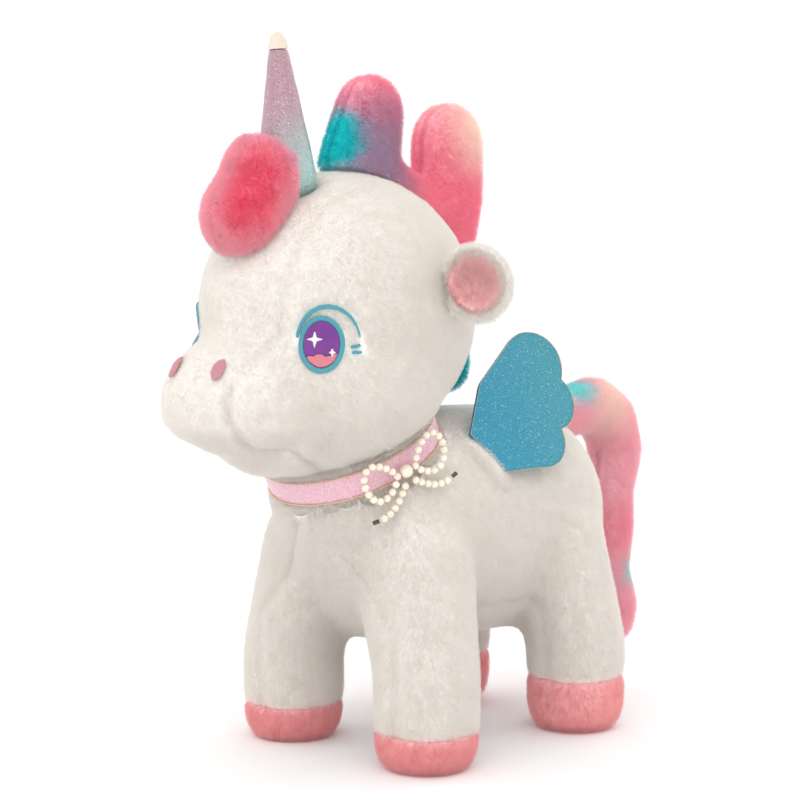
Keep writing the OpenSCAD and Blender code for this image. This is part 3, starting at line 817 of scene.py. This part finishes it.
def make_neck():
    neck = copy_of_nodes("neck_plush", ["neck_stuffing"])
    remesh(neck, 3 * MM)
    smooth(neck, 2)
    stuff(neck, 2, 0.3 * MM)
    subdivide(neck, 1)
    local = in_neck(coordinates(neck.data))
    neck.data.materials.append(CREAM_PLUSH)
    shows = (np.abs(local[:, 2]) - COLLAR_HALF) / MM
    shows = np.where(np.abs(local[:, 2]) < 16 * MM, shows, 0)
    add_pile(neck, CREAM_FIBRE, 3.6 * MM, 16000, 6, seed=13, where=shows)
    hand_over(neck, "neck", ["neck_stuffing"])


def ring_mesh(name, section, count):
    """A solid ring about the z axis: section(k, angle) gives the points of one cut through it."""
    rings = [section(math.tau * k / count) for k in range(count)]
    sides = len(rings[0])
    verts = [point for ring in rings for point in ring]
    faces = []
    for k in range(count):
        for i in range(sides):
            j = (i + 1) % sides
            n = (k + 1) % count
            faces.append((k * sides + i, n * sides + i, n * sides + j, k * sides + j))
    mesh = bpy.data.meshes.new(name)
    mesh.from_pydata(verts, [], faces)
    mesh.polygons.foreach_set("use_smooth", [True] * len(faces))
    mesh.update()
    return mesh


def around(radius, angle, height):
    return (radius * math.cos(angle), radius * math.sin(angle), height)


def collar_section(angle):
    """One cut through the ribbon: a thin band, a little crowned, puckered where it is drawn tight."""
    pucker = 0.18 * MM * math.sin(23 * angle) * math.sin(3 * angle + 1)
    steps = 10
    outer = []
    inner = []
    for i in range(steps + 1):
        t = 2 * i / steps - 1
        crown = 0.25 * MM * (1 - t * t) + pucker * t * t
        outer.append(around(COLLAR_INNER + COLLAR_THICK + crown, angle, t * COLLAR_HALF))
        inner.append(around(COLLAR_INNER + crown, angle, t * COLLAR_HALF))
    return outer + inner[::-1]


def make_collar():
    mesh = ring_mesh("collar_satin", collar_section, 240)
    collar = new_object("collar_satin", mesh)
    mesh.transform(AT_NECK)
    mesh.materials.append(COLLAR_SATIN)
    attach(collar, "neck")
    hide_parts("collar_ribbon")


def make_edging():
    """Two twisted gold threads along each edge of the ribbon."""
    strand = 0.2 * MM
    centre = COLLAR_INNER + COLLAR_THICK + 0.45 * MM
    bm = bmesh.new()
    for end in (-1, 1):
        for start in (0, math.pi):
            def section(angle):
                turn = 150 * angle + start
                radius = centre + strand * math.cos(turn)
                height = end * (COLLAR_HALF - 0.4 * MM) + strand * math.sin(turn)
                cut = []
                for i in range(5):
                    a = math.tau * i / 5
                    cut.append(around(radius + strand * math.cos(a), angle, height + strand * math.sin(a)))
                return cut
            part = ring_mesh("strand", section, 1200)
            bm.from_mesh(part)
            bpy.data.meshes.remove(part)
    mesh = bpy.data.meshes.new("collar_gold_edge")
    bm.to_mesh(mesh)
    bm.free()
    mesh.transform(AT_NECK)
    mesh.materials.append(GOLD_THREAD)
    edge = new_object("collar_gold_edge", mesh)
    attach(edge, "neck")
    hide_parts("collar_edging")


def finish_node(name, material):
    """A better material on a CAD node whose shape is right."""
    node_object = NODES[name]
    for slot in node_object.material_slots:
        slot.link = "OBJECT"
        slot.material = material
    if not node_object.material_slots:
        node_object.data.materials.append(material)


# ---- Head ----

EYE_POS = Vector((36.5, -105.5, 182)) * MM
EYE_TURN = math.radians(42)
EYE_LEAN = math.radians(4)
AT_EYE = (Matrix.Translation(EYE_POS) @ Matrix.Rotation(EYE_TURN, 4, "Z")
          @ Matrix.Rotation(math.pi / 2 - EYE_LEAN, 4, "X"))
NOSTRIL_LOW, NOSTRIL_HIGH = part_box("nostril_left")
NOSTRIL_POS = (NOSTRIL_LOW + NOSTRIL_HIGH) / 2


def in_eye(points):
    """Points in the plane of the eye on their own side: x outwards, y up, z out of the head."""
    back = np.array(AT_EYE.inverted())
    return on_left(points) @ back[:3, :3].T + back[:3, 3]


def oval_distance(flat, centre, size):
    """0 at the middle of an oval and 1 on its edge."""
    offset = (flat[:, :2] / MM - np.array(centre)) / (np.array(size) / 2)
    return np.linalg.norm(offset, axis=1)


def face_bare(points):
    """1 where the pile stands, 0 under the embroidery, and a thinner pile round it."""
    flat = in_eye(points)
    near_eye = np.abs(flat[:, 2]) < 14 * MM
    eye = np.clip((oval_distance(flat, (0, 0), (18.4, 23)) - 1.0) / 0.06, 0, 1)
    ring = np.abs(oval_distance(flat, (2.6, 0.6), (25.8, 29.8)) - 1)
    arc = np.where(flat[:, 1] > -0.5 * MM, np.clip((ring - 0.06) / 0.06, 0, 1), 1)
    seen = flat[:, :2] / MM
    upper_dash = np.clip(distance_to_line(seen, [(11.5, -1), (16, -0.2)]) - 1, 0, 1)
    lower_dash = np.clip(distance_to_line(seen, [(12, -3.2), (16, -2.8)]) - 1, 0, 1)
    bare = np.minimum.reduce([eye, arc, upper_dash, lower_dash])
    bare = np.where(near_eye, bare, 1)
    nose = np.linalg.norm(on_left(points) - np.array(NOSTRIL_POS), axis=1) / MM
    return np.minimum(bare, np.clip((nose - 2.6) / 1.0, 0.2, 1))


GUSSET_LINE = [(25, 400), (25, 209), (17, 141)]
SMILE_LINE = [
    (18.2, -139.3, 164), (18.6, -139.9, 159), (19.3, -139.6, 153), (19.7, -138, 148.7), (18.5, -132.3, 144.5),
    (17, -125, 141.3), (19, -120.3, 139.8), (22.5, -117, 139.3), (26, -112, 138.6), (24, -105.4, 136.3),
    (21.3, -95.3, 132.1),
]


def strip_seam(points):
    """Distance to the seams that frame the strip over the nose."""
    flat = np.abs(points[:, [0, 2]]) / MM
    strip = distance_to_line(flat, GUSSET_LINE)
    return np.where((points[:, 2] > 165 * MM) & (points[:, 1] < -60 * MM), strip, np.inf) * MM


def smile_seam(points):
    """Distance to the seam that runs down beside the nose and back under the cheek."""
    near = on_left(points) / MM
    on_skin = [near[np.argmin(np.linalg.norm(near - np.array(p), axis=1))] for p in SMILE_LINE]
    return distance_to_line(near, on_skin) * MM


def head_seams(points):
    """Distance to whichever seam of the head is nearest."""
    return np.minimum(strip_seam(points), smile_seam(points))


def slope_chin(head):
    """Lifts the underside of the muzzle, so that the chin slopes straight back to the collar."""
    points = coordinates(head.data)
    low = np.clip((150 - points[:, 2] / MM) / 16, 0, 1)
    forward = np.clip((-106 - points[:, 1] / MM) / 13, 0, 1)
    forward = forward * forward * (3 - 2 * forward)
    points[:, 2] += 8.5 * MM * low * forward
    set_coordinates(head.data, points)


def make_head():
    nodes = ("head_left_panel", "head_right_panel", "head_gusset", "chin_panel", "head_stuffing")
    head = copy_of_nodes("head_plush", nodes)
    remesh(head, 4 * MM)
    smooth(head, 6)
    grow(head, -0.6 * MM)
    slope_chin(head)
    stuff(head, 3, 1.5 * MM, head_seams(coordinates(head.data)) < 2.2 * MM)
    subdivide(head, 2)
    sink_seams(head, strip_seam(coordinates(head.data)), 2.6 * MM, 0.8 * MM)
    sink_seams(head, smile_seam(coordinates(head.data)), 2.4 * MM, 2.2 * MM)
    displace(head, 5 * MM, 0.2 * MM, 2)
    head.data.materials.append(CREAM_PLUSH)
    places = coordinates(head.data)
    parted = np.clip(smile_seam(places) / (1.6 * MM), 0.25, 1)
    where = np.minimum(face_bare(places), parted)
    add_pile(head, CREAM_FIBRE, 2.2 * MM, 90000, 7, comb=(0, 0.4, -0.35), seed=12, where=where)
    hand_over(head, "head", nodes)


def satin_ridges(flat, pitch, angle):
    along = flat[:, 0] * math.cos(angle) + flat[:, 1] * math.sin(angle)
    return np.abs(np.sin(math.pi * along / pitch))


def radial_ridges(flat, count):
    return np.abs(np.sin(np.arctan2(flat[:, 1], flat[:, 0]) * count / 2))


def make_embroidery(node_name, material, ridges, voxel=0.35 * MM):
    """Raised satin stitch in the shape of one CAD node."""
    stitches = copy_of_nodes(node_name + "_stitches", [node_name])
    modify(stitches, "REMESH", mode="VOXEL", voxel_size=voxel, adaptivity=0)
    apply_modifiers(stitches)
    smooth(stitches, 3)
    subdivide(stitches, 1)
    mesh = stitches.data
    points = coordinates(mesh)
    lift = 0.16 * MM * ridges(in_eye(points)) + 0.12 * MM
    set_coordinates(mesh, points + normals(mesh) * lift[:, None])
    mesh.materials.append(material)
    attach(stitches, "head")
    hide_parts(node_name)


def teal_ring(points):
    return radial_ridges(points, 110)


def teal_brow(points):
    return radial_ridges(points, 150)


def slanted(points):
    return satin_ridges(points, 0.7 * MM, 0.6)


def near_level(points):
    return satin_ridges(points, 0.7 * MM, 0.2)


def star_stitch(points):
    return satin_ridges(points, 0.6 * MM, 0.8)


FINE_VOXEL = 0.25 * MM


def make_face():
    for side in ("left", "right"):
        make_embroidery("eye_outline_" + side, TEAL_THREAD, teal_ring)
        make_embroidery("eye_iris_" + side, PURPLE_THREAD, slanted)
        make_embroidery("eye_shine_" + side, PINK_THREAD, near_level)
        make_embroidery("eye_stars_" + side, WHITE_THREAD, star_stitch, FINE_VOXEL)
        make_embroidery("eye_brow_" + side, TEAL_THREAD, teal_brow, FINE_VOXEL)
        make_embroidery("nostril_" + side, NOSTRIL_THREAD, near_level)


# ---- Ears ----

def make_ear_layer(name, node_name, voxel):
    layer = copy_of_nodes(name, [node_name])
    remesh(layer, voxel)
    smooth(layer, 4)
    stuff(layer, 2, 0.5 * MM)
    subdivide(layer, 1)
    displace(layer, 3 * MM, 0.3 * MM, 2)
    return layer


def make_ear(side, seed):
    body = "ear_" + side
    shell = make_ear_layer("ear_plush_" + side, "ear_shell_" + side, 1.1 * MM)
    shell.data.materials.append(CREAM_PLUSH)
    add_pile(shell, CREAM_FIBRE, 2.4 * MM, 10000, 5, comb=(0, 0, -0.3), seed=seed)
    hand_over(shell, body, ["ear_shell_" + side])
    lining = make_ear_layer("ear_pink_" + side, "ear_lining_" + side, 1.0 * MM)
    lining.data.materials.append(EAR_PLUSH)
    add_pile(lining, EAR_FIBRE, 1.5 * MM, 6000, 5, comb=(0.1, 0, -0.3), seed=seed + 1)
    hand_over(lining, body, ["ear_lining_" + side])


# ---- Horn ----

def make_horn():
    horn = copy_of_nodes("horn_glitter_cloth", ["horn_cover"])
    wrap(horn)
    remesh(horn, 1.2 * MM)
    smooth(horn, 3)
    stuff(horn, 2, 0.4 * MM)
    subdivide(horn, 1)
    displace(horn, 9 * MM, 0.5 * MM, 1)
    displace(horn, 0.9 * MM, 0.18 * MM, 1)
    horn.data.materials.append(HORN_GLITTER)
    hand_over(horn, "horn", ["horn_cover", "horn_stuffing"])


# ---- Mane, forelock and tail ----

def make_hair(name, body, cloth, fibre, count, seed, comb, length):
    """Mane, forelock or tail: two panels sewn down the middle, over their stuffing."""
    nodes = [name + "_left_panel", name + "_right_panel", name + "_stuffing"]
    hair = copy_of_nodes(name + "_plush", nodes)
    remesh(hair, 2.5 * MM)
    smooth(hair, 4)
    grow(hair, -0.9 * MM)
    stuff(hair, 3, 1.5 * MM, np.abs(coordinates(hair.data)[:, 0]) < 1.5 * MM)
    subdivide(hair, 2)
    sink_seams(hair, np.abs(coordinates(hair.data)[:, 0]), 1.6 * MM, 1.2 * MM)
    displace(hair, 5 * MM, 0.4 * MM, 2)
    hair.data.materials.append(cloth)
    add_pile(hair, fibre, length, count, 6, comb=comb, seed=seed)
    hand_over(hair, body, nodes)


def make_all_hair():
    make_hair("mane", "head", MANE_PLUSH, MANE_FIBRE, 26000, 41, (0, 0.3, -0.3), 2.7 * MM)
    make_hair("forelock", "forelock", FORELOCK_PLUSH, FORELOCK_FIBRE, 13000, 42, (0, -0.1, -0.2), 2.8 * MM)
    make_hair("tail", "tail", TAIL_PLUSH, TAIL_FIBRE, 26000, 43, (0, 0.2, -0.4), 2.7 * MM)


# ---- Wings ----

def wave_wing(mesh):
    """Bends both layers of a wing by the same soft wave, none at the root seam."""
    points = coordinates(mesh)
    side = np.where(points[:, 0] > 0, 1.0, -1.0)
    across, up = in_wing(points)[:2]
    free = np.clip(up / 25, 0, 1)
    lift = free * (0.9 * np.sin(up / 17 + 0.5) + 0.7 * np.sin(across / 9 + up / 30))
    seat = 3.5 * np.array(WING_UP)
    move = (lift[:, None] * np.array(WING_OUT) - seat) * MM
    move[:, 0] *= side
    set_coordinates(mesh, points + move)


def rim_of(node_name, facing):
    """The outline of a flat CAD piece as one ordered loop: the edges where its face turns into its side."""
    bm = bmesh.new()
    bm.from_mesh(NODES[node_name].data)
    bmesh.ops.remove_doubles(bm, verts=bm.verts, dist=0.01 * MM)
    bm.normal_update()
    links = {}
    for edge in bm.edges:
        slopes = sorted(face.normal.dot(facing) for face in edge.link_faces)
        if len(slopes) == 2 and slopes[1] > 0.9 and slopes[0] < 0.5:
            a, b = (tuple(vert.co) for vert in edge.verts)
            links.setdefault(a, []).append(b)
            links.setdefault(b, []).append(a)
    bm.free()
    first = min(links)
    loop = [first]
    before = None
    while True:
        onward = [p for p in links[loop[-1]] if p != before]
        before = loop[-1]
        if not onward or onward[0] == first:
            return [Vector(p) for p in loop]
        loop.append(onward[0])


def even_loop(points, count):
    """The same closed loop with its points spread evenly."""
    closed = points + points[:1]
    lengths = [0.0]
    for a, b in zip(closed, closed[1:]):
        lengths.append(lengths[-1] + (b - a).length)
    made = []
    place = 0
    for k in range(count):
        at = lengths[-1] * k / count
        while lengths[place + 1] < at:
            place += 1
        share = (at - lengths[place]) / max(lengths[place + 1] - lengths[place], 1e-9)
        made.append(closed[place].lerp(closed[place + 1], share))
    return made


def loop_tube(name, loop, radius, sides=6):
    """A closed thread along a loop of points."""
    verts = []
    faces = []
    count = len(loop)
    for k, point in enumerate(loop):
        ahead = (loop[(k + 1) % count] - loop[k - 1]).normalized()
        first = ahead.cross(WING_OUT).normalized()
        second = ahead.cross(first)
        for i in range(sides):
            a = math.tau * i / sides
            verts.append(point + (first * math.cos(a) + second * math.sin(a)) * radius)
            j = (i + 1) % sides
            n = (k + 1) % count
            faces.append((k * sides + i, k * sides + j, n * sides + j, n * sides + i))
    mesh = bpy.data.meshes.new(name)
    mesh.from_pydata(verts, [], faces)
    mesh.polygons.foreach_set("use_smooth", [True] * len(faces))
    mesh.update()
    return mesh


def make_wing_layer(side, node_name, name, material, slot):
    layer = copy_of_nodes(name, [node_name])
    remesh(layer, 0.5 * MM)
    smooth(layer, 1)
    wave_wing(layer.data)
    layer.data.polygons.foreach_set("use_smooth", [True] * len(layer.data.polygons))
    if slot == "wing_glitter":
        displace(layer, 0.8 * MM, 0.12 * MM, 1)
    layer.data.materials.append(material)
    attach(layer, "wing_" + side)
    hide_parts(node_name)


def make_wing(side):
    backing = "wing_backing_" + side
    make_wing_layer(side, "wing_sheet_" + side, "wing_glitter_" + side, WING_GLITTER, "wing_glitter")
    make_wing_layer(side, "wing_felt_" + side, backing, WING_FELT, "wing_felt")
    way = WING_OUT if side == "left" else Vector((-WING_OUT.x, WING_OUT.y, WING_OUT.z))
    loop = even_loop(rim_of("wing_sheet_" + side, way), 320)
    mesh = loop_tube("wing_edge_" + side, loop, 0.22 * MM)
    wave_wing(mesh)
    mesh.materials.append(WING_EDGE)
    edge = new_object("wing_edge_" + side, mesh)
    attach(edge, "wing_" + side)


# ---- Materials of this animal ----

CREAM_PLUSH = plush("cream_plush", CREAM, CREAM_ROOT_SHADE)
CREAM_FIBRE = fibre_of(CREAM_PLUSH, "cream_fibre")
SALMON_PLUSH = plush("salmon_plush", SALMON, SALMON_ROOT_SHADE)
SALMON_FIBRE = fibre_of(SALMON_PLUSH, "salmon_fibre")
EAR_PLUSH = plush("ear_plush", EAR_PINK, EAR_PINK, dye=dyed([
    (CORAL, (58, -60, 200), 9, 6),
    (CORAL, (-58, -60, 200), 9, 6),
]))
EAR_FIBRE = fibre_of(EAR_PLUSH, "ear_fibre")
MANE_PLUSH = plush("mane_plush", ROSE, ROSE_ROOT_SHADE, dye=dyed([
    (PLUM, (0, -44, 262), 26, 10),
    (MAUVE, (0, -48, 260), 15, 9),
    (SOFT_PINK, (0, -54, 297), 7, 5),
    (AQUA, (0, -80, 254), 15, 7),
    (TEAL, (0, -66, 267), 14, 6),
    (PEACH, (0, 16, 272), 19, 11),
    (SOFT_PINK, (0, -12, 284), 9, 6),
    (ROSE, (0, -16, 262), 14, 10),
    (MAUVE, (0, 12, 200), 16, 10),
    (TEAL, (0, 10, 162), 25, 6),
]))
MANE_FIBRE = fibre_of(MANE_PLUSH, "mane_fibre")
FORELOCK_PLUSH = plush("forelock_plush", SOFT_PINK, SOFT_PINK, dye=dyed([
    (LAVENDER, (8, -92, 262), 12, 8),
    (LAVENDER, (8, -146, 228), 9, 6),
    (HOT_PINK, (18, -122, 254), 13, 10),
    (HOT_PINK, (18, -128, 238), 12, 9),
    (AQUA, (-24, -118, 210), 18, 5),
    (AQUA, (-36, -118, 244), 18, 6),
]))
FORELOCK_FIBRE = fibre_of(FORELOCK_PLUSH, "forelock_fibre")
TAIL_PLUSH = plush("tail_plush", PALE_PINK, PALE_PINK, dye=dyed([
    (PEACH, (0, 118, 146), 17, 11),
    (AQUA, (0, 99, 152), 11, 6),
    (SOFT_PINK, (0, 112, 152), 6, 5),
    (BLUSH, (0, 130, 82), 14, 10),
    (AQUA, (0, 134, 59), 11, 6),
    (SOFT_PINK, (0, 134, 40), 12, 7),
]))
TAIL_FIBRE = fibre_of(TAIL_PLUSH, "tail_fibre")
HORN_FOOT = Vector((0, -90.5, 250)) * MM
HORN_GLITTER = glitter_cloth(
    "horn_glitter", colour(165, 121, 139), colour(190, 160, 167), 0.42 * MM,
    (HORN_FOOT + Vector((-3, -3, 32)) * MM, HORN_FOOT + Vector((12, 12, 6)) * MM,
     colour(141, 186, 177), colour(180, 200, 198)), metallic=0.45,
)
WING_GLITTER = glitter_cloth(
    "wing_glitter", colour(14, 129, 166), colour(60, 154, 180), 0.34 * MM,
    (WING_ROOT + Vector((0, -14, 10)) * MM, WING_ROOT + Vector((0, 60, 20)) * MM,
     colour(30, 132, 150), colour(80, 160, 172)),
)
COLLAR_SATIN = glitter_cloth(
    "collar_satin", colour(224, 161, 180), colour(236, 204, 215), 0.4 * MM, metallic=0.15,
)
WING_FELT = fibre_cloth("wing_felt", colour(70, 160, 186), colour(44, 130, 158), 0.8 * MM)
WING_EDGE = fibre_cloth("wing_edge", colour(188, 184, 160), colour(130, 150, 150), 1.0 * MM)
GOLD_THREAD = fibre_cloth(
    "gold_thread", colour(246, 220, 180), colour(226, 190, 142), 0.6 * MM, rough=0.4, metallic=0.2,
)


def thread(name, light, dark, pull=(4, 1, 1), rough=0.45):
    """Embroidery thread, its hairs drawn out one way."""
    return fibre_cloth(name, light, dark, 0.3 * MM, pull, rough=rough)


TEAL_THREAD = thread("teal_thread", colour(88, 178, 190), colour(48, 132, 150), (1, 1, 4))
PURPLE_THREAD = thread("purple_thread", colour(140, 62, 160), colour(92, 30, 122))
PINK_THREAD = thread("pink_thread", colour(228, 142, 152), colour(204, 108, 122))
NOSTRIL_THREAD = thread("nostril_thread", colour(212, 150, 158), colour(184, 118, 128), rough=0.6)
WHITE_THREAD = thread("white_thread", colour(255, 255, 252), colour(226, 226, 224), (1, 1, 1))
HORN_CAP = fibre_cloth("horn_cap", colour(240, 228, 216), colour(214, 194, 178), 0.6 * MM)
PEARL = pearl_material()
CRIMP = fibre_cloth(
    "crimp_metal", colour(120, 112, 104), colour(70, 66, 62), 0.5 * MM, sheen=0, rough=0.35, metallic=0.9,
)
NYLON = fibre_cloth("nylon_line", colour(246, 240, 226), colour(224, 214, 196), 0.5 * MM, sheen=0, rough=0.3)

# ---- The whole animal ----

aim_camera()
light_studio()
lay_floor()
make_body()
for number, hoof in enumerate(["front_left", "front_right", "hind_left", "hind_right"]):
    make_hoof("hoof_" + hoof, 21 + number)
make_neck()
make_collar()
make_edging()
finish_node("bow_beads", PEARL)
finish_node("bow_thread", NYLON)
finish_node("bow_crimps", CRIMP)
make_head()
make_face()
make_ear("left", 31)
make_ear("right", 33)
make_horn()
finish_node("horn_tip", HORN_CAP)
make_all_hair()
make_wing("left")
make_wing("right")
